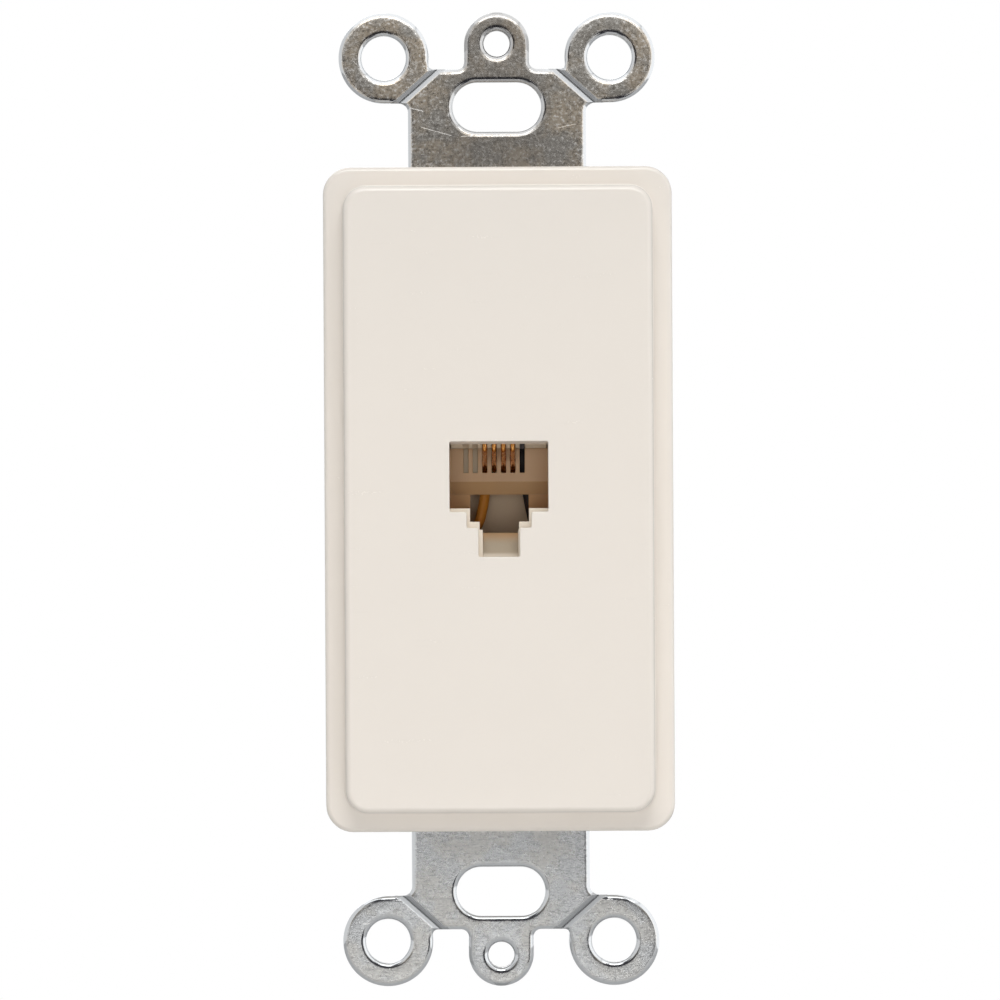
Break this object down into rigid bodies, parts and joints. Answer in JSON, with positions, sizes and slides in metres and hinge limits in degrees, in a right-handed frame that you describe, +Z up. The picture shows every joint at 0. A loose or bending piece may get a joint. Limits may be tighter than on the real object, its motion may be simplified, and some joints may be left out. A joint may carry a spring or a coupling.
{
  "type": "telephone wall socket",
  "caption": "Flush telephone wall socket: a rectangular almond cover with a stepped plug opening, on a slotted steel mounting strap with break-off ears and rear wiring terminals.",
  "frame": {"origin": "on the strap's rear face, midway between the two oval screw slots", "axes": "+X to the right seen from the front, +Y back into the wall box, +Z up"},
  "size_m": [0.037, 0.0203, 0.1034],
  "materials": {
    "almond_plastic": "satin moulded",
    "strap_steel": "zinc plated",
    "jack_plastic": "satin moulded",
    "base_plastic": "satin moulded",
    "contact_gold": "gold plated",
    "sleeve_brass": "crimped",
    "lug_tin": "tinned",
    "terminal_brass": "plain",
    "screw_steel": "zinc plated",
    "lead_yellow": "insulation",
    "lead_green": "insulation",
    "lead_red": "insulation",
    "lead_black": "insulation"
  },
  "bodies": {
    "root": {"face_cover": "almond_plastic", "mounting_strap": "strap_steel", "jack_body": "jack_plastic", "contact_carrier": "jack_plastic", "contact_wire_1": "contact_gold", "contact_wire_2": "contact_gold", "contact_wire_3": "contact_gold", "contact_wire_4": "contact_gold", "splice_sleeves": "sleeve_brass", "rear_cap": "base_plastic", "terminal_base": "base_plastic", "lead_yellow": "lead_yellow", "lead_green": "lead_green", "lead_red": "lead_red", "lead_black": "lead_black", "spade_lug_yellow": "lug_tin", "spade_lug_green": "lug_tin", "spade_lug_red": "lug_tin", "spade_lug_black": "lug_tin", "terminal_plate_yellow": "terminal_brass", "terminal_plate_green": "terminal_brass", "terminal_plate_red": "terminal_brass", "terminal_plate_black": "terminal_brass", "terminal_screw_yellow": "terminal_brass", "terminal_screw_green": "terminal_brass", "terminal_screw_red": "terminal_brass", "terminal_screw_black": "terminal_brass", "assembly_screw_top": "screw_steel", "assembly_screw_bottom": "screw_steel"}
  },
  "joints": []
}
